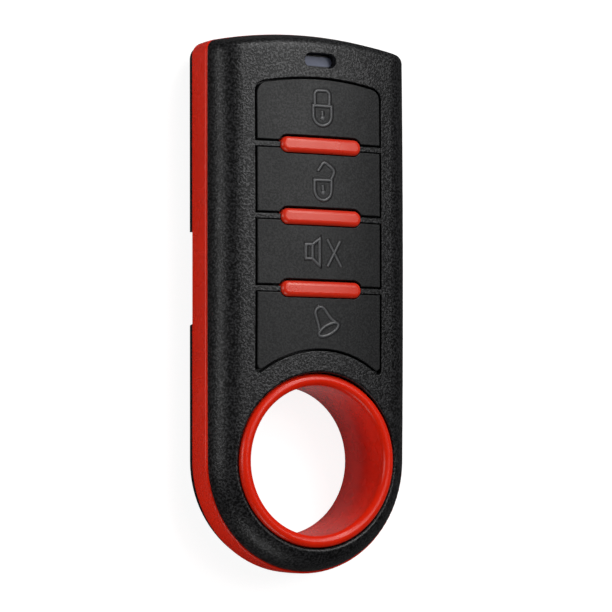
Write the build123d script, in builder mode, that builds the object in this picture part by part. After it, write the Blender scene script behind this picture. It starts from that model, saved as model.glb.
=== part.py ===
from build123d import *
import math
import os

# Learning remote control for a vehicle alarm, lying on its back.
# X runs across the body, +Y towards the indicator end, +Z out of the button face.
# The origin is the middle of the footprint, at the height of the back face. Millimetres.

# Body
body_length = 81.8
body_width = 34.2
body_thickness = 13.2
top_arch_radius = 70.0
corner_radius = 2.0
front_inset = 0.32
back_inset = 0.4
cover_wall = 1.5
band_wall = 1.5
band_draft = 1.0
band_edge_radius = 0.35
tongue_inset = 1.6
tongue_wall = 0.7
tongue_height = 0.9
front_shoulder_radius = 4.8
front_end_inset = 0.1
front_end_draft = 14.5
front_end_radius = 1.6
hole_edge_radius = 0.35
opening_edge_radius = 0.12
back_edge_radius = 3.0

# Levels above the back face
band_low_z = 3.6
band_high_z = 8.24
floor_low_z = 5.2
floor_high_z = 6.2
board_low_z = 7.1
board_high_z = 8.1
key_flange_low_z = 10.5
key_flange_high_z = 11.2
ceiling_z = 11.3
bar_seat_z = 12.0
back_floor_z = 1.5

# Crown of the front face
crown_y = 9.25
crown_across_radius = 85.0
crown_along_radius = 1600.0
crown_sections = [-50.0, -30.0, -10.0, 9.25, 30.0, 45.0, 60.0]

# Finger ring, centred on the round end of the body
ring_y = (body_width - body_length) / 2
ring_bore_radius = 11.28
ring_step = 0.08
ring_back_radius = 11.42
ring_outer_radius = 13.14
ring_top_z = 12.45
ring_parting_z = 5.65
front_ring_gap = 0.12
back_ring_gap = 0.1
ring_collar_radius = 14.8

# Key panel, measured from the ring centre along Y
panel_half_width = 10.66
panel_top = 57.47
panel_top_radius = 48.1
panel_foot_radius = 16.62
panel_top_corner = 1.7
panel_foot_corner = 0.6
panel_gap = 0.15
divider_lines = [47.79, 37.02, 26.21]
divider_pitch = 1.0
upper_gap = 0.14
lower_gap = 0.05
key_edge_radius = 0.12
key_flange_reach = 0.7
key_flange_clearance = 0.2
key_travel = 0.4
key_post_radius = 1.5
key_post_low_z = 9.7
key_pocket_z = 11.7
key_pocket_size = (15.0, 4.6)

# Divider bars
bar_length = 13.6
bar_width = 2.37
bar_rise = 0.55
bar_edge_radius = 0.7
bar_seat_width = 1.9
bar_peg_radius = 0.45
bar_peg_spacing = 9.0
bar_gap_above = 0.3
bar_gap_below = 0.1

# Indicator
lens_y = ring_y + 60.2
lens_slot = (5.3, 2.15)
lens_top_z = 11.6
lens_clearance = 0.05
lens_flange = (6.6, 3.3)
lens_pipe = (3.4, 1.4)
lens_pipe_low_z = 9.2

# Fixings
screw_places = [(-13.0, 33.0), (13.0, 33.0), (-13.0, -8.0), (13.0, -8.0)]
boss_radius = 1.6
boss_low_z = 6.25
boss_high_z = 11.3
pilot_radius = 0.81
screw_radius = 0.79
screw_head_radius = 1.45
screw_head_height = 0.9
screw_tip_z = 9.8
notch_low_y = -3.45
notch_high_y = 10.65
notch_depth = 1.3

# Electronics
key_names = ["lock", "unlock", "mute", "bell"]
switch_centres = [52.6, 41.9, 31.1, 20.9]
switch_size = 4.6
switch_body_high_z = 9.1
switch_cover_high_z = 9.25
switch_well_low_z = 8.3
plunger_radius = 1.1
plunger_clearance = 0.05
plunger_low_z = 8.75
cell_y = 11.0
cell_radius = 10.0
cell_cap_radius = 8.8
cell_low_z = 1.6
cell_height = 3.2
cell_can_height = 2.7
pocket_radius = 10.4
pocket_wall = 1.0
pocket_low_z = 2.2
board_inset = 2.5
board_ring_radius = 15.2

top_y = body_length / 2
slot_width = 0.7


def body_outline(inset):
    """Plan of the body moved in by inset: round at the ring end and arched at the other."""
    half = body_width / 2 - inset
    arch = top_arch_radius - inset
    top = top_y - inset
    shoulder = top - arch + math.sqrt(arch**2 - half**2)
    with BuildSketch() as outline:
        with BuildLine():
            CenterArc((0, ring_y), half, 180, 180)
            Line((half, ring_y), (half, shoulder))
            ThreePointArc((half, shoulder), (0, top), (-half, shoulder))
            Line((-half, shoulder), (-half, ring_y))
        make_face()
        fillet(outline.vertices().group_by(Axis.Y)[-1], max(corner_radius - inset, 0.5))
    return outline.sketch


def rim_outline(inset, wall):
    """A closed wall that follows the body's plan."""
    with BuildSketch() as rim:
        add(body_outline(inset))
        add(body_outline(inset + wall), mode=Mode.SUBTRACT)
    return rim.sketch


def panel_outline(grow):
    """Plan of the key panel: straight sides, an arched top and a foot that hugs the ring."""
    half = panel_half_width + grow
    top = ring_y + panel_top + grow
    arch = panel_top_radius + grow
    foot = panel_foot_radius - grow
    shoulder = top - arch + math.sqrt(arch**2 - half**2)
    toe = ring_y + math.sqrt(foot**2 - half**2)
    with BuildSketch() as panel:
        with BuildLine():
            ThreePointArc((-half, toe), (0, ring_y + foot), (half, toe))
            Line((half, toe), (half, shoulder))
            ThreePointArc((half, shoulder), (0, top), (-half, shoulder))
            Line((-half, shoulder), (-half, toe))
        make_face()
        corners = panel.vertices().group_by(Axis.Y)
        fillet(corners[-1], panel_top_corner + grow / 2)
    with BuildSketch() as rounded:
        add(panel.sketch)
        fillet(rounded.vertices().group_by(Axis.Y)[0], panel_foot_corner)
    return rounded.sketch


def divider_y(index):
    """Middle of the fixed strip between two keys."""
    return ring_y + divider_lines[index] - divider_pitch / 2


def bar_outline(index, grow):
    """Plan of a divider bar, grown all round."""
    with BuildSketch() as bar:
        with Locations((0, divider_y(index))):
            SlotOverall(bar_length + 2 * grow, bar_width + 2 * grow)
    return bar.sketch


def key_outline(index):
    """Plan of one key cap, cut out round the bars above and below it."""
    low = ring_y + divider_lines[index] + upper_gap if index < 3 else -body_length
    high = ring_y + divider_lines[index - 1] - divider_pitch - lower_gap if index > 0 else body_length
    with BuildSketch() as cap:
        add(panel_outline(-panel_gap))
        with Locations((0, (low + high) / 2)):
            Rectangle(body_width, high - low, mode=Mode.INTERSECT)
        if index < 3:
            add(bar_outline(index, bar_gap_above), mode=Mode.SUBTRACT)
        if index > 0:
            add(bar_outline(index - 1, bar_gap_below), mode=Mode.SUBTRACT)
    return cap.sketch


def key_flange_outline(index):
    """Plan of the flange that keeps one key under the cover."""
    low = divider_y(index) + key_flange_clearance if index < 3 else -body_length
    high = divider_y(index - 1) - key_flange_clearance if index > 0 else body_length
    with BuildSketch() as flange:
        add(panel_outline(key_flange_reach))
        with Locations((0, (low + high) / 2)):
            Rectangle(body_width, high - low, mode=Mode.INTERSECT)
    return flange.sketch


def crowned_block(lift):
    """All that lies under the doubly crowned front face, raised by lift."""
    reach = body_width * 0.6
    with BuildPart() as block:
        for y in crown_sections:
            top = body_thickness + lift - (y - crown_y) ** 2 / (2 * crown_along_radius)
            edge = top - crown_across_radius + math.sqrt(crown_across_radius**2 - reach**2)
            with BuildSketch(Plane.XZ.offset(-y)):
                with BuildLine():
                    ThreePointArc((-reach, edge), (0, top), (reach, edge))
                    Polyline((reach, edge), (reach, 0), (-reach, 0), (-reach, edge))
                make_face()
        loft()
    return block.part


def finish(name, part):
    """Labels a finished piece and writes it."""
    part.label = name
    export_step(part, f"parts/{name}.step")


os.makedirs("parts", exist_ok=True)
front_face = crowned_block(0)
ring_axis = Axis((0, ring_y, 0), (0, 0, 1))

# The front cover's top before its flat end is cut: crowned, opened for keys, bars and indicator,
# with wide rounded shoulders along the sides and round the ring end.
with BuildPart() as shoulders:
    shoulder_half = body_width / 2 - front_inset
    with BuildSketch(Plane.XY.offset(band_low_z)):
        with BuildLine():
            CenterArc((0, ring_y), shoulder_half, 180, 180)
            Polyline(
                (shoulder_half, ring_y),
                (shoulder_half, body_length * 0.7),
                (-shoulder_half, body_length * 0.7),
                (-shoulder_half, ring_y),
            )
        make_face()
    extrude(amount=body_thickness)
    add(front_face, mode=Mode.INTERSECT)
    for index in range(3):
        with BuildSketch(Plane.XY.offset(bar_seat_z)):
            add(bar_outline(index, 0.03))
        extrude(amount=body_thickness, mode=Mode.SUBTRACT)
    with BuildSketch(Plane.XY.offset(key_flange_high_z)):
        add(panel_outline(panel_gap))
        for index in range(3):
            with Locations((0, divider_y(index) + (lower_gap - upper_gap) / 2)):
                Rectangle(body_width, divider_pitch - upper_gap - lower_gap, mode=Mode.SUBTRACT)
    extrude(amount=body_thickness, mode=Mode.SUBTRACT)
    with BuildSketch(Plane.XY.offset(key_flange_high_z)):
        with Locations((0, lens_y)):
            SlotOverall(*lens_slot)
    extrude(amount=body_thickness, mode=Mode.SUBTRACT)
    crown = shoulders.faces().sort_by(Axis.Z).filter_by(lambda f: len(f.inner_wires()) == 2)[-1]
    fillet([edge for wire in crown.inner_wires() for edge in wire.edges()], opening_edge_radius)
    crown = shoulders.faces().sort_by(Axis.Z).filter_by(lambda f: len(f.inner_wires()) == 2)[-1]
    fillet(crown.outer_wire().edges().sort_by(Axis.Y)[:-1], front_shoulder_radius)

# Hollow inside the front cover, under the keys and clear of the ring
with BuildPart() as front_hollow:
    hollow_half = body_width / 2 - front_inset - cover_wall
    hollow_top = top_y - front_inset - cover_wall
    hollow_foot = ring_y + 6
    hollow_shoulder = hollow_top - (hollow_half**2) / (2 * top_arch_radius)
    with BuildSketch(Plane.XY.offset(band_high_z - 1)):
        with BuildLine():
            Polyline(
                (-hollow_half, hollow_shoulder),
                (-hollow_half, hollow_foot),
                (hollow_half, hollow_foot),
                (hollow_half, hollow_shoulder),
            )
            ThreePointArc((hollow_half, hollow_shoulder), (0, hollow_top), (-hollow_half, hollow_shoulder))
        make_face()
        with Locations((0, ring_y)):
            Circle(ring_collar_radius, mode=Mode.SUBTRACT)
    extrude(amount=ceiling_z - band_high_z + 1)
    side_edges = front_hollow.edges().filter_by(Axis.Y).group_by(Axis.Z)[-1]
    fillet(side_edges, front_shoulder_radius - cover_wall)

with BuildPart() as front_cover:
    hole_radius = ring_outer_radius + front_ring_gap
    end_half = body_width * 0.6 - 0.5
    end_top = top_y - front_end_inset
    end_arch = top_arch_radius - front_end_inset
    end_shoulder = end_top - end_arch + math.sqrt(end_arch**2 - end_half**2)
    with BuildSketch(Plane.XY.offset(band_high_z)):
        with BuildLine():
            ThreePointArc((end_half, end_shoulder), (0, end_top), (-end_half, end_shoulder))
            Polyline(
                (-end_half, end_shoulder),
                (-end_half, -body_length * 0.6),
                (end_half, -body_length * 0.6),
                (end_half, end_shoulder),
            )
        make_face()
    extrude(amount=body_thickness * 0.4, taper=front_end_draft)
    add(shoulders.part, mode=Mode.INTERSECT)
    end_wall = front_cover.faces().filter_by(lambda f: f.center().Y > 38 and f.normal_at().Y > 0.6)
    end_edges = end_wall.edges().filter_by(lambda e: e.center().Z > band_high_z + 0.1)
    fillet(end_edges, front_end_radius)
    add(front_hollow.part, mode=Mode.SUBTRACT)
    with BuildSketch(Plane.XY.offset(band_high_z - tongue_height)):
        add(rim_outline(tongue_inset, tongue_wall))
    extrude(amount=2 * tongue_height)
    with BuildSketch(Plane.XY.offset(boss_low_z)):
        with Locations(*screw_places):
            Circle(boss_radius)
    extrude(amount=boss_high_z - boss_low_z)
    with BuildSketch(Plane.XY.offset(boss_low_z)):
        with Locations(*screw_places):
            Circle(pilot_radius)
    extrude(amount=screw_tip_z - boss_low_z + 0.5, mode=Mode.SUBTRACT)
    with BuildSketch(Plane.XY.offset(0)):
        with Locations((0, ring_y)):
            Circle(hole_radius)
    extrude(amount=2 * body_thickness, mode=Mode.SUBTRACT)
    hole_edges = front_cover.edges().filter_by(
        lambda e: e.center().Z > ceiling_z + 0.1
        and abs(math.hypot((e @ 0.5).X, (e @ 0.5).Y - ring_y) - hole_radius) < 0.01
    )
    fillet(hole_edges, hole_edge_radius)
    for index in range(3):
        with BuildSketch(Plane.XY.offset(ceiling_z)):
            with Locations((0, divider_y(index))):
                SlotOverall(bar_length - 0.4, bar_seat_width)
        extrude(amount=bar_seat_z - ceiling_z)
        with BuildSketch(Plane.XY.offset(key_flange_high_z)):
            with Locations((0, divider_y(index))):
                with GridLocations(bar_peg_spacing, 0, 2, 1):
                    Circle(bar_peg_radius + 0.03)
        extrude(amount=body_thickness, mode=Mode.SUBTRACT)
finish("front_cover", front_cover.part)

# Red middle frame: the side band, the finger ring, and a floor between board and battery
with BuildPart() as middle_frame:
    middle_z = (band_low_z + band_high_z) / 2
    with BuildSketch(Plane.XY.offset(middle_z)):
        add(body_outline(0))
    extrude(amount=band_high_z - middle_z, taper=band_draft)
    with BuildSketch(Plane.XY.offset(middle_z)):
        add(body_outline(0))
    extrude(amount=middle_z - band_low_z, dir=(0, 0, -1), taper=band_draft)
    rim_edges = middle_frame.faces().filter_by(Axis.Z).edges()
    fillet(rim_edges, band_edge_radius)
    for low, high in ((band_low_z, floor_low_z), (floor_high_z, band_high_z)):
        with BuildSketch(Plane.XY.offset(low)):
            add(body_outline(band_wall))
        extrude(amount=high - low, mode=Mode.SUBTRACT)
    with BuildSketch(Plane.XY.offset(floor_high_z)):
        for y in (-4.0, 4.8, 15.6, 26.4, 34.5):
            with Locations((0, y)):
                Rectangle(20.0, 0.8)
    extrude(amount=board_low_z - floor_high_z)
    with BuildSketch(Plane.XY.offset(pocket_low_z)):
        with Locations((0, cell_y)):
            Circle(pocket_radius + pocket_wall)
            Circle(pocket_radius, mode=Mode.SUBTRACT)
        with Locations((0, cell_y + pocket_radius)):
            Rectangle(6.0, 4.0, mode=Mode.SUBTRACT)
        with Locations((0, cell_y - pocket_radius)):
            Rectangle(9.0, 4.0, mode=Mode.SUBTRACT)
    extrude(amount=floor_low_z - pocket_low_z)
    with BuildSketch(Plane.XY.offset(floor_low_z)):
        with Locations(*screw_places):
            Circle(pilot_radius + 0.15)
        with Locations((0, cell_y + cell_radius + 0.2)):
            Rectangle(4.4, slot_width)
        with Locations((6.15, cell_y)):
            Rectangle(slot_width, 3.0)
    extrude(amount=floor_high_z - floor_low_z, mode=Mode.SUBTRACT)
    with BuildSketch(Plane.XY.offset(0)):
        with Locations((0, ring_y)):
            Circle(ring_bore_radius + 0.5)
    extrude(amount=body_thickness, mode=Mode.SUBTRACT)
    with BuildSketch(Plane.XZ.offset(-ring_y)):
        bead = (ring_outer_radius - ring_bore_radius) / 2
        with BuildLine():
            Polyline(
                (ring_bore_radius, ring_top_z - bead),
                (ring_bore_radius, ring_parting_z),
                (ring_bore_radius + ring_step, ring_parting_z),
                (ring_back_radius, 0),
                (ring_outer_radius, 0),
                (ring_outer_radius, ring_top_z - bead),
            )
            ThreePointArc(
                (ring_outer_radius, ring_top_z - bead),
                (ring_bore_radius + bead, ring_top_z),
                (ring_bore_radius, ring_top_z - bead),
            )
        make_face()
    revolve(axis=ring_axis)
    for side in (-1, 1):
        for y in (-10.0, 22.0):
            with BuildSketch(Plane.XY.offset(band_low_z + 0.15)):
                with Locations((side * (body_width / 2 - band_wall), y)):
                    Rectangle(0.8, 5.4)
            extrude(amount=0.8, mode=Mode.SUBTRACT)
finish("middle_frame", middle_frame.part)

# Back cover with its finger notches and snap ridges
with BuildPart() as rear_cover:
    with BuildSketch():
        add(body_outline(back_inset))
    extrude(amount=band_low_z)
    fillet(rear_cover.faces().sort_by(Axis.Z)[0].edges(), back_edge_radius)
    with BuildSketch(Plane.XY.offset(back_floor_z)):
        add(body_outline(back_inset + cover_wall))
        with Locations((0, ring_y)):
            Circle(ring_collar_radius, mode=Mode.SUBTRACT)
    extrude(amount=band_low_z - back_floor_z, mode=Mode.SUBTRACT)
    with BuildSketch(Plane.XY.offset(band_low_z - tongue_height)):
        add(rim_outline(tongue_inset, tongue_wall))
    extrude(amount=2 * tongue_height)
    with BuildSketch(Plane.XY.offset(back_floor_z - 0.2)):
        with Locations((0, cell_y)):
            Circle(pocket_radius + pocket_wall + 1.2)
            Circle(pocket_radius + pocket_wall + 0.4, mode=Mode.SUBTRACT)
        for y in (28.5, 33.0):
            with Locations((0, y)):
                Rectangle(28.0, 0.8)
    extrude(amount=1.2)
    with BuildSketch(Plane.XY):
        with Locations((0, ring_y)):
            Circle(ring_outer_radius + back_ring_gap)
    extrude(amount=body_thickness, mode=Mode.SUBTRACT)
    for side in (-1, 1):
        for y in (-10.0, 22.0):
            tongue_x = side * (body_width / 2 - tongue_inset)
            with BuildSketch(Plane.XZ.offset(-y - 2.5)):
                with BuildLine():
                    Polyline(
                        (tongue_x - side * 0.3, band_low_z + 0.25),
                        (tongue_x + side * 0.35, band_low_z + 0.3),
                        (tongue_x + side * 0.35, band_low_z + 0.45),
                        (tongue_x - side * 0.3, band_low_z + 0.85),
                        close=True,
                    )
                make_face()
            extrude(amount=5.0)
        with BuildSketch(Plane.YZ.offset(side * (body_width / 2 - back_inset - notch_depth))):
            with BuildLine():
                Polyline(
                    (notch_low_y - 0.3, -0.5),
                    (notch_high_y + 0.3, -0.5),
                    (notch_high_y - 0.1, band_low_z),
                    (notch_low_y + 0.3, band_low_z),
                    close=True,
                )
            make_face()
        extrude(amount=side * 3.0, mode=Mode.SUBTRACT)
finish("rear_cover", rear_cover.part)

# Four keys: a crowned cap, a flange under the cover and a post over the switch
for index, name in enumerate(key_names):
    with BuildPart() as key:
        with BuildSketch(Plane.XY.offset(key_flange_low_z)):
            add(key_outline(index))
        extrude(amount=body_thickness)
        add(front_face, mode=Mode.INTERSECT)
        fillet(key.faces().sort_by(Axis.Z)[-1].edges(), key_edge_radius)
        with BuildSketch(Plane.XY.offset(key_flange_low_z)):
            add(key_flange_outline(index))
        extrude(amount=key_flange_high_z - key_flange_low_z)
        with BuildSketch(Plane.XY.offset(key_flange_low_z)):
            with Locations((0, ring_y + switch_centres[index])):
                RectangleRounded(*key_pocket_size, 0.6)
        extrude(amount=key_pocket_z - key_flange_low_z, mode=Mode.SUBTRACT)
        with BuildSketch(Plane.XY.offset(key_post_low_z)):
            with Locations((0, ring_y + switch_centres[index])):
                Circle(key_post_radius)
        extrude(amount=key_pocket_z - key_post_low_z)
        with BuildSketch(Plane.XY.offset(key_flange_low_z)):
            with Locations((0, ring_y + switch_centres[index])):
                Rectangle(key_pocket_size[0], 0.7)
        extrude(amount=key_pocket_z - key_flange_low_z)
    finish(f"{name}_key", key.part)

# Three glossy bars seated in the fixed strips between the keys
raised_face = crowned_block(bar_rise)
for index, name in enumerate(["upper", "middle", "lower"]):
    with BuildPart() as bar:
        with BuildSketch(Plane.XY.offset(bar_seat_z)):
            add(bar_outline(index, 0))
        extrude(amount=body_thickness)
        add(raised_face, mode=Mode.INTERSECT)
        fillet(bar.faces().sort_by(Axis.Z)[-1].edges(), bar_edge_radius)
        with BuildSketch(Plane.XY.offset(ceiling_z)):
            with Locations((0, divider_y(index))):
                with GridLocations(bar_peg_spacing, 0, 2, 1):
                    Circle(bar_peg_radius)
        extrude(amount=bar_seat_z - ceiling_z)
    finish(f"{name}_divider_bar", bar.part)

# Clear light guide behind the indicator slot
with BuildPart() as indicator_lens:
    with BuildSketch(Plane.XY.offset(ceiling_z)):
        with Locations((0, lens_y)):
            SlotOverall(lens_slot[0] - 2 * lens_clearance, lens_slot[1] - 2 * lens_clearance)
    extrude(amount=lens_top_z - ceiling_z)
    with BuildSketch(Plane.XY.offset(key_flange_low_z)):
        with Locations((0, lens_y)):
            SlotOverall(*lens_flange)
    extrude(amount=ceiling_z - key_flange_low_z)
    with BuildSketch(Plane.XY.offset(lens_pipe_low_z)):
        with Locations((0, lens_y)):
            SlotOverall(*lens_pipe)
    extrude(amount=key_flange_low_z - lens_pipe_low_z)
finish("indicator_lens", indicator_lens.part)

# Circuit board, notched for the bosses and slotted for the battery contacts
with BuildPart() as circuit_board:
    with BuildSketch(Plane.XY.offset(board_low_z)):
        add(body_outline(board_inset))
        with Locations((0, ring_y)):
            Circle(board_ring_radius, mode=Mode.SUBTRACT)
            Rectangle(body_width, 2 * 10.5, mode=Mode.SUBTRACT)
        with Locations(*screw_places):
            Circle(boss_radius + 0.2, mode=Mode.SUBTRACT)
        for x, y in screw_places:
            with Locations((math.copysign(body_width / 2, x), y)):
                Rectangle(2 * (body_width / 2 - abs(x)), 2 * boss_radius + 0.4, mode=Mode.SUBTRACT)
        with Locations((0, cell_y + cell_radius + 0.2)):
            Rectangle(4.4, slot_width, mode=Mode.SUBTRACT)
        with Locations((6.15, cell_y)):
            Rectangle(slot_width, 3.0, mode=Mode.SUBTRACT)
    extrude(amount=board_high_z - board_low_z)
finish("circuit_board", circuit_board.part)

# A tactile switch under each key: moulded body, steel cover with feet, and plunger
for index, name in enumerate(key_names):
    centre = (0, ring_y + switch_centres[index])
    with BuildPart() as switch_body:
        with BuildSketch(Plane.XY.offset(board_high_z)):
            with Locations(centre):
                RectangleRounded(switch_size, switch_size, 0.4)
        extrude(amount=switch_body_high_z - board_high_z)
        with BuildSketch(Plane.XY.offset(switch_well_low_z)):
            with Locations(centre):
                Circle(plunger_radius + plunger_clearance)
        extrude(amount=switch_body_high_z - switch_well_low_z, mode=Mode.SUBTRACT)
    finish(f"{name}_switch_body", switch_body.part)
    with BuildPart() as switch_cover:
        with BuildSketch(Plane.XY.offset(switch_body_high_z)):
            with Locations(centre):
                RectangleRounded(switch_size + 0.3, switch_size, 0.3)
                Circle(plunger_radius + plunger_clearance, mode=Mode.SUBTRACT)
        extrude(amount=switch_cover_high_z - switch_body_high_z)
        with BuildSketch(Plane.XY.offset(board_high_z)):
            with Locations(centre):
                with GridLocations(switch_size + 0.15, switch_size - 1.4, 2, 2):
                    Rectangle(0.15, 0.7)
        extrude(amount=switch_body_high_z - board_high_z)
        with BuildSketch(Plane.XY.offset(board_high_z)):
            with Locations(centre):
                with GridLocations(switch_size + 0.85, switch_size - 1.4, 2, 2):
                    Rectangle(0.85, 0.7)
        extrude(amount=0.15)
    finish(f"{name}_switch_cover", switch_cover.part)
    with BuildPart() as plunger:
        with BuildSketch(Plane.XY.offset(plunger_low_z)):
            with Locations(centre):
                Circle(plunger_radius)
        extrude(amount=key_post_low_z - plunger_low_z)
        chamfer(plunger.edges().sort_by(Axis.Z)[-1], 0.12)
    finish(f"{name}_switch_plunger", plunger.part)

# Indicator lamp on the board
with BuildPart() as indicator_lamp:
    with BuildSketch(Plane.XY.offset(board_high_z)):
        with Locations((0, lens_y)):
            Rectangle(1.6, 0.8)
    extrude(amount=0.35)
    with BuildSketch(Plane.XY.offset(board_high_z + 0.35)):
        with Locations((0, lens_y)):
            Rectangle(1.1, 0.8)
    extrude(amount=0.4, taper=8)
finish("indicator_lamp", indicator_lamp.part)

# Code chip with its eight gull-wing leads
with BuildPart() as code_chip:
    with BuildSketch(Plane.XY.offset(board_high_z + 0.15)):
        with Locations((-8.2, 12.8)):
            Rectangle(3.9, 4.9)
    extrude(amount=1.3)
    chamfer(code_chip.faces().sort_by(Axis.Z)[-1].edges(), 0.2)
    with BuildSketch(Plane.XY.offset(board_high_z + 0.6)):
        with Locations((-8.2, 12.8)):
            with GridLocations(4.3, 1.27, 2, 4):
                Rectangle(0.8, 0.4)
    extrude(amount=0.2)
    with BuildSketch(Plane.XY.offset(board_high_z)):
        with Locations((-8.2, 12.8)):
            with GridLocations(4.9, 1.27, 2, 4):
                Rectangle(0.4, 0.4)
    extrude(amount=0.8)
finish("code_chip", code_chip.part)

# Metal cans of the resonator and of the timing crystal
for name, place, size in (
    ("radio_resonator", (8.2, 23.5), (5.0, 5.0)),
    ("timing_crystal", (-8.2, 2.0), (3.2, 5.0)),
):
    with BuildPart() as can:
        with BuildSketch(Plane.XY.offset(board_high_z)):
            with Locations(place):
                RectangleRounded(*size, 0.5)
        extrude(amount=0.3)
        with BuildSketch(Plane.XY.offset(board_high_z + 0.3)):
            with Locations(place):
                RectangleRounded(size[0] - 0.5, size[1] - 0.5, 0.5)
        extrude(amount=1.0)
        chamfer(can.faces().sort_by(Axis.Z)[-1].edges(), 0.15)
    finish(name, can.part)

# Ceramic capacitors and resistors beside the switches
with BuildPart() as chip_passives:
    with BuildSketch(Plane.XY.offset(board_high_z)):
        with Locations((7.0, 13.5), (9.4, 13.5), (7.0, 3.0), (9.4, 3.0), (-6.8, 23.6), (-9.2, 23.6)):
            Rectangle(0.8, 1.6)
    extrude(amount=0.8)
finish("chip_passives", chip_passives.part)

# Transmitting loop of round wire across the board, in front of the indicator lamp
with BuildPart() as loop_antenna:
    antenna_y = 31.9
    antenna_x = 9.4
    with BuildLine() as wire:
        FilletPolyline(
            (-antenna_x, antenna_y, board_high_z),
            (-antenna_x, antenna_y, board_high_z + 1.5),
            (antenna_x, antenna_y, board_high_z + 1.5),
            (antenna_x, antenna_y, board_high_z),
            radius=0.8,
        )
    with BuildSketch(Plane((-antenna_x, antenna_y, board_high_z))):
        Circle(0.3)
    sweep(path=wire.line)
finish("loop_antenna", loop_antenna.part)

# Coin cell, can towards the back cover
with BuildPart() as coin_cell:
    with BuildSketch(Plane.XZ.offset(-cell_y)):
        with BuildLine():
            Polyline(
                (0, cell_low_z),
                (cell_radius - 0.3, cell_low_z),
                (cell_radius, cell_low_z + 0.3),
                (cell_radius, cell_low_z + cell_can_height),
                (cell_cap_radius + 0.2, cell_low_z + cell_can_height + 0.25),
                (cell_cap_radius, cell_low_z + cell_can_height),
                (cell_cap_radius - 0.3, cell_low_z + cell_height),
                (0, cell_low_z + cell_height),
                close=True,
            )
        make_face()
    revolve(axis=Axis((0, cell_y, 0), (0, 0, 1)))
finish("coin_cell", coin_cell.part)

# Spring-steel contacts: one on the cell's cap, one beside its can
with BuildPart() as negative_contact:
    cell_top_z = cell_low_z + cell_height
    with BuildSketch(Plane.XY.offset(floor_low_z - 0.2)):
        with Locations((0, cell_y)):
            RectangleRounded(12.6, 4.0, 0.8)
    extrude(amount=0.2)
    with BuildSketch(Plane.XY.offset(cell_top_z)):
        with Locations((-3.0, cell_y), (3.0, cell_y)):
            Circle(1.2)
    extrude(amount=floor_low_z - 0.2 - cell_top_z)
    with BuildSketch(Plane.XY.offset(floor_low_z - 0.2)):
        with Locations((6.15, cell_y)):
            Rectangle(0.3, 2.6)
    extrude(amount=board_high_z + 0.4 - floor_low_z + 0.2)
finish("negative_contact", negative_contact.part)

with BuildPart() as positive_contact:
    contact_y = cell_y + cell_radius + 0.2
    with BuildSketch(Plane.XY.offset(back_floor_z + 0.3)):
        with Locations((0, contact_y)):
            Rectangle(4.0, 0.3)
    extrude(amount=board_high_z + 0.4 - back_floor_z - 0.3)
finish("positive_contact", positive_contact.part)

# Four pan-head screws, driven from the battery side into the front cover's bosses
with BuildPart() as cover_screws:
    with BuildSketch(Plane.XY.offset(floor_low_z - screw_head_height)):
        with Locations(*screw_places):
            Circle(screw_head_radius)
    extrude(amount=screw_head_height)
    with BuildSketch(Plane.XY.offset(floor_low_z)):
        with Locations(*screw_places):
            Circle(screw_radius)
    extrude(amount=screw_tip_z - floor_low_z)
    chamfer(cover_screws.faces().sort_by(Axis.Z)[:4].edges(), 0.35)
finish("cover_screws", cover_screws.part)
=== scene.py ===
import math

import bmesh
import bpy
from mathutils import Matrix, Vector
from mathutils.bvhtree import BVHTree


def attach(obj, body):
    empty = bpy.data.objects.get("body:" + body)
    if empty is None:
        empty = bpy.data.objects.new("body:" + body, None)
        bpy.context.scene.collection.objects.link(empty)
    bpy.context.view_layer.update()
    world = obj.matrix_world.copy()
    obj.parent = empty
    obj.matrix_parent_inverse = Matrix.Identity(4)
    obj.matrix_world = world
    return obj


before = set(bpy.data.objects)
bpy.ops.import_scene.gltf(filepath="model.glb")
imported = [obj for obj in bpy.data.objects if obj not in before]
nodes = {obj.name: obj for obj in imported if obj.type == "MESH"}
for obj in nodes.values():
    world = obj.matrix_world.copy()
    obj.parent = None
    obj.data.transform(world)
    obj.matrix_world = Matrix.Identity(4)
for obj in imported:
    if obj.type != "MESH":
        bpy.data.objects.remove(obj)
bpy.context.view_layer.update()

# Lengths are in millimetres, and become Blender's metres where they are multiplied by MM.
MM = 0.001
RING_Y = -23.75  # middle of the finger ring
LENS_Y = 36.45  # middle line of the indicator slot

# The camera that was fitted to the photograph
IMAGE_PX = 612
FOCAL_PX = 2705.954
CENTRE_ROW_PX = 402.971
SENSOR_WIDTH = 36.0
CAMERA_PLACE = (-197.0367, -24.5630, 367.7812)
CAMERA_AXES = (  # right, up and back
    (0.8769945, -0.0014989, 0.4804980),
    (-0.0098533, 0.9997288, 0.0211026),
    (-0.4803993, -0.0232413, 0.8767419),
)

# Key signs: (side, height) pairs are measured from the line and from the key's face
ROW_STEP = 0.12
LINE_WIDTH = 0.46
LINE_HEIGHT = 0.12
DOT_HEIGHT = 0.11
FOOT = -0.02
# A thin dark sheet round each line of a sign is painted shade, set off towards the upper right,
# where the raised lines are shaded
PAINTED_SHADE = ((-0.40, -0.01), (-0.39, 0.006), (0.39, 0.006), (0.40, -0.01))
PAINTED_SHADE_SHIFT = (0.07, 0.08)
SHARPEST_MITRE = 0.55
TINY = 1e-6
RAY_START = 20
DOWN = Vector((0, 0, -1))

# Floor and light
FLOOR_HALF = 6000
FLOOR_DROP = 0.02
LIGHT_DISTANCE = 1200
LIGHT_AIM = (0, 0, 5)
RING_GLOW = 0.22
FAR_GLOW = 0.5

FULL = (0.0, 1.0)  # the whole range of a factor
MIDDLE = (0.3, 0.7)  # where most of a noise lies
MIX_A, MIX_B, MIX_RESULT = 6, 7, 2  # the colour sockets of a Mix node


# Camera

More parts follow.
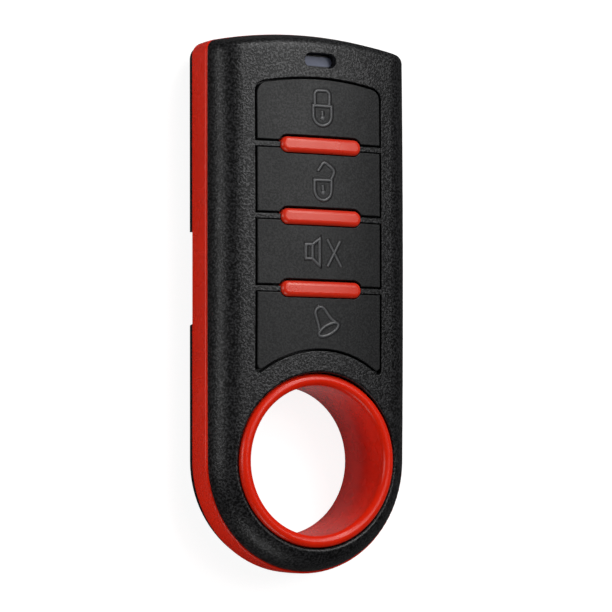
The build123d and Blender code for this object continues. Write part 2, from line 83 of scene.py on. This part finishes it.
def place_camera():
    """A long lens that looks at the face from its left side."""
    data = bpy.data.cameras.new("camera")
    data.sensor_width = SENSOR_WIDTH
    data.lens = FOCAL_PX / IMAGE_PX * SENSOR_WIDTH
    data.shift_y = (CENTRE_ROW_PX - IMAGE_PX / 2) / IMAGE_PX
    data.clip_start = 10 * MM
    data.clip_end = 20000 * MM
    camera = bpy.data.objects.new("camera", data)
    bpy.context.scene.collection.objects.link(camera)
    turn = Matrix(CAMERA_AXES).transposed().to_4x4()
    camera.matrix_world = Matrix.Translation(Vector(CAMERA_PLACE) * MM) @ turn
    bpy.context.scene.camera = camera


# Materials

class Shade:
    """Builds one material's node tree."""

    def __init__(self, name):
        self.material = bpy.data.materials.new(name)
        self.material.use_nodes = True
        self.tree = self.material.node_tree
        self.shader = self.tree.nodes["Principled BSDF"]
        self.coords = self.tree.nodes.new("ShaderNodeTexCoord").outputs["Object"]

    def node(self, kind, inputs=None, **settings):
        """Adds a node, with its settings made before its inputs are fed."""
        made = self.tree.nodes.new("ShaderNode" + kind)
        for key, value in settings.items():
            setattr(made, key, value)
        for key, value in (inputs or {}).items():
            self.feed(made.inputs[key], value)
        return made

    def feed(self, socket, value):
        """Links a socket to another node's output, or gives it a plain value."""
        if isinstance(value, bpy.types.NodeSocket):
            self.tree.links.new(value, socket)
        else:
            socket.default_value = value

    def set(self, **values):
        """Feeds the shader's inputs, with _ for the spaces in their names."""
        for key, value in values.items():
            self.feed(self.shader.inputs[key.replace("_", " ")], value)

    def noise(self, size_mm, detail=2.0, roughness=0.5, distortion=0.0):
        """Noise whose features are about size_mm across."""
        return self.node("TexNoise", {
            "Vector": self.coords, "Scale": 1 / (size_mm * MM), "Detail": detail,
            "Roughness": roughness, "Distortion": distortion,
        }).outputs["Fac"]

    def blend(self, factor, low, high, spread=MIDDLE):
        """A colour that goes from low to high as factor goes over spread."""
        ramp = self.node("ValToRGB", {"Fac": factor})
        for element, position, colour in zip(ramp.color_ramp.elements, spread, (low, high)):
            element.position = position
            element.color = (*colour, 1)
        return ramp.outputs["Color"]

    def span(self, factor, low, high, spread=MIDDLE):
        """A number that goes from low to high as factor goes over spread."""
        return self.node("MapRange", {
            "Value": factor, "From Min": spread[0], "From Max": spread[1],
            "To Min": low, "To Max": high,
        }).outputs["Result"]

    def calc(self, operation, a, b=0.0):
        """The result of one Math node."""
        return self.node("Math", {0: a, 1: b}, operation=operation).outputs[0]

    def bump(self, height, depth_mm, strength):
        """Relief whose full height stands for depth_mm."""
        made = self.node("Bump", {
            "Height": height, "Distance": depth_mm * MM, "Strength": strength,
        })
        self.set(Normal=made.outputs["Normal"])


def grained_black():
    """Black moulded plastic with a fine spark-eroded grain."""
    s = Shade("black_cover")
    grain = s.span(s.noise(0.32, 1.5, 0.6), 0.0, 1.0, (0.42, 0.64))
    s.set(
        Base_Color=s.blend(grain, (0.003, 0.003, 0.0032), (0.024, 0.024, 0.0255), FULL),
        Roughness=s.span(s.noise(9.0), 0.34, 0.39),
        Specular_IOR_Level=s.span(grain, 0.21, 0.43, FULL),
    )
    s.bump(grain, 0.022, 0.8)
    return s.material


def satin_black():
    """Key caps: smoother than the cover, with a fainter texture."""
    s = Shade("black_key")
    fine = s.span(s.noise(0.30, 2.0, 0.6), 0.0, 1.0, (0.40, 0.62))
    broad = s.noise(6.0)
    mottle = s.calc("ADD", s.calc("MULTIPLY", fine, 0.7), s.calc("MULTIPLY", broad, 0.3))
    s.set(
        Base_Color=s.blend(mottle, (0.0040, 0.0042, 0.0046), (0.0130, 0.0133, 0.0139), FULL),
        Roughness=s.span(broad, 0.38, 0.44),
        Specular_IOR_Level=s.span(fine, 0.21, 0.29, FULL),
    )
    s.bump(fine, 0.006, 0.6)
    return s.material


def key_sign(name, low, high, roughness):
    """The raised lines of a sign, or the painted shade round them."""
    s = Shade(name)
    fine = s.noise(0.2)
    s.set(Base_Color=s.blend(fine, low, high), Roughness=roughness, Specular_IOR_Level=0.5)
    s.bump(fine, 0.006, 0.5)
    return s.material


def moulded_red(name, low, high, roughness, gloss, tint, relief_mm):
    """Red plastic with faint flow marks and a broad soft waviness."""
    s = Shade(name)
    wavy = s.noise(3.0, 1.0)
    s.set(
        Base_Color=s.blend(s.noise(11.0, distortion=0.4), low, high),
        Roughness=s.span(wavy, roughness - 0.03, roughness + 0.03),
        Specular_IOR_Level=gloss,
        Specular_Tint=(*tint, 1.0),
    )
    s.bump(wavy, relief_mm, 0.5)
    return s.material


def smoked_clear():
    """Bluish grey light guide, with painted shade along its long edges where the slot shades them.
    """
    s = Shade("smoked_lens")
    along = s.node("SeparateXYZ", {"Vector": s.coords}).outputs["Y"]
    aside = s.calc("ABSOLUTE", s.calc("SUBTRACT", along, LENS_Y * MM))
    # Painted shade: the colour goes nearly black towards the long edges of the lens
    shade = s.span(aside, 0.0, 1.0, (0.62 * MM, 0.80 * MM))
    clear = s.blend(s.noise(0.9, 1.0), (0.105, 0.120, 0.180), (0.135, 0.150, 0.220))
    mixed = s.node("Mix", {
        "Factor": shade, MIX_A: clear, MIX_B: (0.004, 0.004, 0.006, 1),
    }, data_type="RGBA")
    s.set(Base_Color=mixed.outputs[MIX_RESULT], Roughness=0.42, Specular_IOR_Level=0.3)
    s.bump(s.noise(0.6), 0.01, 0.3)
    return s.material


def board_green():
    """Lacquered board with tracks that show through the lacquer."""
    s = Shade("green_board")
    tracks = s.node("TexBrick", {
        "Vector": s.coords, "Scale": 420.0, "Mortar Size": 0.03,
        "Brick Width": 0.9, "Row Height": 0.35,
    }, offset=0.37).outputs["Fac"]
    s.set(
        Base_Color=s.blend(tracks, (0.012, 0.10, 0.035), (0.03, 0.17, 0.06), FULL),
        Roughness=s.span(s.noise(3.0), 0.24, 0.34),
        Specular_IOR_Level=0.5,
    )
    s.bump(tracks, 0.02, 0.5)
    return s.material


def rolled_metal(name, low, high, roughness, stretch):
    """Sheet metal with rolling marks along one way."""
    s = Shade(name)
    marks = s.node("Mapping", {"Vector": s.coords, "Scale": stretch})
    lines = s.node("TexNoise", {
        "Vector": marks.outputs["Vector"], "Scale": 3000.0, "Detail": 3.0, "Roughness": 0.6,
    }).outputs["Fac"]
    s.set(
        Base_Color=s.blend(lines, low, high),
        Metallic=1.0,
        Roughness=s.span(lines, roughness - 0.06, roughness + 0.08),
    )
    s.bump(lines, 0.006, 0.4)
    return s.material


def fine_grained(name, low, high, rough, gloss, grain_mm, detail, relief_mm, strength):
    """A material whose colour, roughness and relief all follow one fine grain."""
    s = Shade(name)
    grain = s.noise(grain_mm, detail)
    s.set(
        Base_Color=s.blend(grain, low, high),
        Roughness=s.span(grain, *rough),
        Specular_IOR_Level=gloss,
    )
    s.bump(grain, relief_mm, strength)
    return s.material


def moulded_dark(name, low, high):
    """Moulded black bodies of switches and chips."""
    return fine_grained(name, low, high, (0.5, 0.62), 0.4, 0.15, 2.0, 0.01, 0.5)


def fired_ceramic():
    """Bodies of the chip capacitors and resistors."""
    low, high = (0.20, 0.12, 0.07), (0.34, 0.23, 0.14)
    return fine_grained("ceramic", low, high, (0.38, 0.5), 0.5, 0.25, 3.0, 0.008, 0.4)


def clear_lamp():
    """The lamp's pale resin."""
    low, high = (0.62, 0.58, 0.42), (0.8, 0.76, 0.6)
    return fine_grained("lamp", low, high, (0.12, 0.2), 0.5, 0.4, 1.0, 0.01, 0.2)


def dress_nodes():
    """Gives each node of the CAD its material."""
    red_frame = moulded_red(
        "red_frame", (0.76, 0.0175, 0.0035), (0.81, 0.0205, 0.0045),
        roughness=0.27, gloss=0.30, tint=(1.0, 0.95, 0.90), relief_mm=0.010)
    red_bar = moulded_red(
        "red_bar", (0.70, 0.027, 0.009), (0.75, 0.031, 0.011),
        roughness=0.30, gloss=0.5, tint=(1.0, 0.90, 0.80), relief_mm=0.004)
    black_cover = grained_black()
    black_key = satin_black()
    switch_plastic = moulded_dark("switch_plastic", (0.012, 0.012, 0.013), (0.03, 0.03, 0.032))
    chip_plastic = moulded_dark("chip_plastic", (0.006, 0.006, 0.007), (0.016, 0.016, 0.018))
    steel = rolled_metal(
        "sheet_steel", (0.50, 0.50, 0.49), (0.68, 0.68, 0.66), 0.28, (1, 0.06, 1))
    cell = rolled_metal(
        "cell_steel", (0.56, 0.56, 0.54), (0.72, 0.72, 0.70), 0.22, (0.05, 1, 1))
    contact = rolled_metal(
        "contact_steel", (0.52, 0.50, 0.44), (0.70, 0.67, 0.58), 0.26, (1, 1, 0.08))
    screw = rolled_metal(
        "screw_steel", (0.40, 0.40, 0.40), (0.56, 0.56, 0.56), 0.34, (1, 1, 0.2))
    looks = {
        "front_cover": black_cover,
        "rear_cover": black_cover,
        "middle_frame": red_frame,
        "indicator_lens": smoked_clear(),
        "circuit_board": board_green(),
        "indicator_lamp": clear_lamp(),
        "code_chip": chip_plastic,
        "radio_resonator": steel,
        "timing_crystal": steel,
        "chip_passives": fired_ceramic(),
        "loop_antenna": steel,
        "coin_cell": cell,
        "positive_contact": contact,
        "negative_contact": contact,
        "cover_screws": screw,
    }
    for key in ("lock", "unlock", "mute", "bell"):
        looks[key + "_key"] = black_key
        looks[key + "_switch_body"] = switch_plastic
        looks[key + "_switch_cover"] = steel
        looks[key + "_switch_plunger"] = switch_plastic
    for bar in ("upper", "middle", "lower"):
        looks[bar + "_divider_bar"] = red_bar
    for name, obj in nodes.items():
        for holder in obj.material_slots:
            holder.material = looks[name]


# Signs on the keys
# Each is a list of lines, as (points, closed), and a list of dots, as (centre, rx, ry), with
# the points' y measured from the middle of the finger ring.

def arc(cx, cy, rx, ry, start, end, steps, tilt=0.0):
    """Points of an ellipse's arc, angles in degrees."""
    cos_tilt = math.cos(math.radians(tilt))
    sin_tilt = math.sin(math.radians(tilt))
    out = []
    for i in range(steps + 1):
        angle = math.radians(start + (end - start) * i / steps)
        x = rx * math.cos(angle)
        y = ry * math.sin(angle)
        out.append((cx + x * cos_tilt - y * sin_tilt, cy + x * sin_tilt + y * cos_tilt))
    return out


def lock_sign():
    """A closed padlock."""
    shackle = [(-1.12, 53.38), (-1.12, 54.90)]
    shackle += arc(-0.46, 54.96, 0.66, 0.62, 180, 90, 5)
    shackle += arc(0.74, 54.96, 0.66, 0.64, 90, 0, 5)
    shackle += [(1.38, 53.40)]
    body = [(-1.38, 53.27), (-1.39, 51.95)]
    body += arc(0.17, 51.85, 1.56, 1.53, 180, 360, 16)
    body += [(1.73, 53.27)]
    keyhole = [(0.15, 52.52), (0.19, 51.70)]
    return [(shackle, False), (body, True), (keyhole, False)], [((0.22, 51.42), 0.408, 0.408)]


def unlock_sign():
    """A padlock with its shackle swung open."""
    body = [(-1.24, 42.05), (-1.24, 40.75)]
    body += arc(0.20, 40.62, 1.44, 1.55, 180, 360, 16)
    body += [(1.66, 42.12)]
    shackle = [
        (1.56, 42.20), (1.97, 42.92), (2.12, 43.40), (2.04, 43.74), (1.41, 44.24),
        (0.80, 44.64), (0.45, 44.72), (0.14, 44.56), (-0.24, 44.06), (-0.70, 43.42),
    ]
    keyhole = [(0.17, 41.36), (0.23, 40.48)]
    return [(body, True), (shackle, False), (keyhole, False)], [((0.25, 40.18), 0.408, 0.432)]


def mute_sign():
    """A crossed-out loudspeaker."""
    box = [(-1.60, 32.35), (-2.72, 32.35), (-2.72, 30.22), (-1.60, 30.22)]
    cone = [(-1.60, 32.35), (-0.38, 33.24), (-0.38, 29.20), (-1.60, 30.22)]
    falling = [(0.90, 33.22), (3.34, 29.11)]
    rising = [(3.17, 33.05), (0.95, 29.10)]
    return [(box, False), (cone, True), (falling, False), (rising, False)], []


def bell_sign():
    """A tilted bell."""
    dome = [
        (-0.42, 19.45), (-0.54, 20.18), (-0.80, 20.95), (-1.09, 21.81), (-1.12, 22.26),
        (-0.98, 22.60), (-0.72, 22.86), (-0.35, 23.00), (0.02, 22.98), (0.35, 22.78),
        (0.65, 22.45), (1.09, 21.84), (1.55, 21.35), (1.98, 21.02), (2.58, 20.66),
    ]
    rim = arc(1.18, 19.64, 1.86, 0.70, 0, 360, 26, tilt=27)[:-1]
    knob = [(-0.72, 23.22), (-0.50, 23.02)]
    return [(dome, False), (rim, True), (knob, False)], []


def resample(points, closed):
    """Points set out evenly along the line, with its corners kept."""
    out = []
    ends = points + [points[0]] if closed else points
    for (x0, y0), (x1, y1) in zip(ends, ends[1:]):
        n = max(1, round(math.hypot(x1 - x0, y1 - y0) / ROW_STEP))
        out += [(x0 + (x1 - x0) * i / n, y0 + (y1 - y0) * i / n) for i in range(n)]
    return out if closed else out + [points[-1]]


def add_vertex(mesh, tree, x, y, height):
    """A vertex at a height over the key's face."""
    start = Vector((x, y + RING_Y, RAY_START)) * MM
    hit = tree.ray_cast(start, DOWN)[0]
    return mesh.verts.new((hit.x, hit.y, hit.z + height * MM))


def ribbon(mesh, tree, points, closed, profile):
    """Sweeps a profile of (side, height) pairs along a line on a key's face."""
    points = resample(points, closed)
    count = len(points)
    rows = []
    for i, (x, y) in enumerate(points):
        before = points[i - 1] if closed or i else points[i]
        after = points[(i + 1) % count] if closed or i < count - 1 else points[i]
        coming = Vector((x - before[0], y - before[1]))
        going = Vector((after[0] - x, after[1] - y))
        if coming.length < TINY:
            coming = going
        if going.length < TINY:
            going = coming
        along = (coming.normalized() + going.normalized()).normalized()
        side = Vector((-along.y, along.x))
        square = Vector((-coming.y, coming.x)).normalized()
        widen = 1 / max(SHARPEST_MITRE, side.dot(square))
        rows.append([
            add_vertex(mesh, tree, x + side.x * across * widen, y + side.y * across * widen, height)
            for across, height in profile
        ])
    pairs = list(zip(rows, rows[1:])) + ([(rows[-1], rows[0])] if closed else [])
    for a, b in pairs:
        for j in range(len(profile) - 1):
            mesh.faces.new((a[j], a[j + 1], b[j + 1], b[j]))
    if not closed:
        mesh.faces.new(list(reversed(rows[0])))
        mesh.faces.new(rows[-1])


def dot(mesh, tree, centre, rx, ry):
    """A small raised oval with a rounded edge."""
    rings = []
    for share, height in ((1.0, FOOT), (0.92, DOT_HEIGHT * 0.7), (0.7, DOT_HEIGHT)):
        outline = arc(*centre, rx * share, ry * share, 0, 360, 20)[:-1]
        rings.append([add_vertex(mesh, tree, x, y, height) for x, y in outline])
    for a, b in zip(rings, rings[1:]):
        for i in range(len(a)):
            j = (i + 1) % len(a)
            mesh.faces.new((a[i], a[j], b[j], b[i]))
    mesh.faces.new(rings[-1])


def ridge_profile(steps=6):
    """A rounded ridge that starts a little below the key's face."""
    half = LINE_WIDTH / 2
    out = [(-half, FOOT)]
    for i in range(steps + 1):
        angle = math.pi * (1 - i / steps)
        # A power below 1 makes the ridge fuller than an ellipse
        out.append((half * math.cos(angle), LINE_HEIGHT * math.sin(angle) ** 0.8))
    return out + [(half, FOOT)]


def make_piece(name, mesh, material, body):
    """Turns a finished bmesh into a smooth piece that rides on a body."""
    bmesh.ops.recalc_face_normals(mesh, faces=mesh.faces)
    data = bpy.data.meshes.new(name)
    mesh.to_mesh(data)
    mesh.free()
    for face in data.polygons:
        face.use_smooth = True
    data.materials.append(material)
    piece = bpy.data.objects.new(name, data)
    bpy.context.scene.collection.objects.link(piece)
    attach(piece, body)


def node_tree(name):
    """A node's mesh in a form that rays can be cast at."""
    mesh = bmesh.new()
    mesh.from_mesh(nodes[name].data)
    tree = BVHTree.FromBMesh(mesh)
    mesh.free()
    return tree


def add_signs():
    """A raised sign on each key, and a thin dark sheet of painted shade round its lines."""
    # The lines' lighter grey is partly their own colour and partly painted highlight for the sheen
    # on their rounded tops
    line = key_sign("sign_line", (0.044, 0.0445, 0.047), (0.064, 0.065, 0.068), 0.38)
    painted_shade = key_sign(
        "sign_painted_shade", (0.0016, 0.0016, 0.0018), (0.0032, 0.0032, 0.0034), 0.72)
    ridge = ridge_profile()
    for key, (lines, dots) in (
        ("lock", lock_sign()), ("unlock", unlock_sign()),
        ("mute", mute_sign()), ("bell", bell_sign()),
    ):
        tree = node_tree(key + "_key")
        raised = bmesh.new()
        shade_sheet = bmesh.new()
        for points, closed in lines:
            ribbon(raised, tree, points, closed, ridge)
            # Painted shade round each line, set off towards its shaded side
            shifted = [(x + PAINTED_SHADE_SHIFT[0], y + PAINTED_SHADE_SHIFT[1]) for x, y in points]
            ribbon(shade_sheet, tree, shifted, closed, PAINTED_SHADE)
        for centre, rx, ry in dots:
            dot(raised, tree, centre, rx, ry)
        make_piece(key + "_sign", raised, line, key + "_key_body")
        make_piece(key + "_sign_painted_shade", shade_sheet, painted_shade, key + "_key_body")


# Floor and light

def floor_material():
    """White to the camera, and bright in reflections only past the object and in the ring."""
    s = Shade("floor")
    paths = s.node("LightPath").outputs
    bounced = s.span(paths["Is Diffuse Ray"], 0.28, 0.8, FULL)
    dimmed = s.span(paths["Is Glossy Ray"], 0.0, 0.2, FULL)
    seen = s.calc("MAXIMUM", paths["Is Camera Ray"], paths["Is Transmission Ray"])
    from_middle = s.node("VectorMath", {0: s.coords}, operation="LENGTH").outputs["Value"]
    from_ring = s.node("VectorMath", {
        0: s.coords, 1: (0, RING_Y * MM, 0),
    }, operation="DISTANCE").outputs["Value"]
    inner_edge = s.span(from_ring, 0.0, RING_GLOW, (7.4 * MM, 9.2 * MM))
    outer_edge = s.span(from_ring, RING_GLOW, 0.0, (11.0 * MM, 12.5 * MM))
    ring_glow = s.calc("MINIMUM", inner_edge, outer_edge)
    far_glow = s.span(from_middle, 0.0, FAR_GLOW, (250 * MM, 1200 * MM))
    glow = s.calc("MAXIMUM", far_glow, ring_glow)
    mirrored = s.calc("MULTIPLY", paths["Is Glossy Ray"], glow)
    s.set(
        Base_Color=s.calc("SUBTRACT", bounced, dimmed),
        Roughness=0.9,
        Specular_IOR_Level=0.1,
        Emission_Color=(1, 1, 1, 1),
        Emission_Strength=s.calc("MAXIMUM", s.calc("MULTIPLY", seen, 0.9), mirrored),
    )
    return s.material


def make_floor():
    """A pale sweep, just below the object's back."""
    half = FLOOR_HALF * MM
    corners = [(-half, -half, 0), (half, -half, 0), (half, half, 0), (-half, half, 0)]
    data = bpy.data.meshes.new("floor")
    data.from_pydata(corners, [], [(0, 1, 2, 3)])
    data.materials.append(floor_material())
    floor = bpy.data.objects.new("floor", data)
    floor.location.z = -FLOOR_DROP * MM
    bpy.context.scene.collection.objects.link(floor)


def softbox(name, way, size_mm, radiance):
    """A soft rectangular lamp, given by the way it stands, its size and its brightness."""
    data = bpy.data.lights.new(name, "AREA")
    data.shape = "RECTANGLE"
    data.size, data.size_y = size_mm[0] * MM, size_mm[1] * MM
    data.energy = radiance * math.pi * data.size * data.size_y
    lamp = bpy.data.objects.new(name, data)
    place = Vector(way).normalized() * LIGHT_DISTANCE * MM
    facing = (Vector(LIGHT_AIM) * MM - place).to_track_quat("-Z", "Y").to_matrix().to_4x4()
    lamp.matrix_world = Matrix.Translation(place) @ facing
    bpy.context.scene.collection.objects.link(lamp)


def light_scene():
    """Soft boxes round the object, in a world that gives no light of its own."""
    world = bpy.data.worlds.new("world")
    bpy.context.scene.world = world
    world.use_nodes = True
    world.node_tree.nodes["Background"].inputs["Strength"].default_value = 0.0
    softbox("left_strip", (-0.97, 0.10, 0.22), (500, 200), 8.2)
    softbox("left_high", (-0.90, 0.10, 0.45), (500, 400), 1.6)
    softbox("overhead", (0.10, 0.22, 0.97), (500, 400), 2.5)
    softbox("overhead_right", (0.42, 0.26, 0.87), (450, 400), 6.3)
    softbox("overhead_far", (0.30, 0.60, 0.74), (500, 500), 6.4)
    softbox("far_middle", (0.20, 0.80, 0.57), (450, 300), 6.8)
    softbox("near_left", (-0.30, -0.90, 0.30), (700, 400), 3.2)


bpy.context.scene.view_settings.view_transform = "Standard"
place_camera()
dress_nodes()
add_signs()
make_floor()
light_scene()
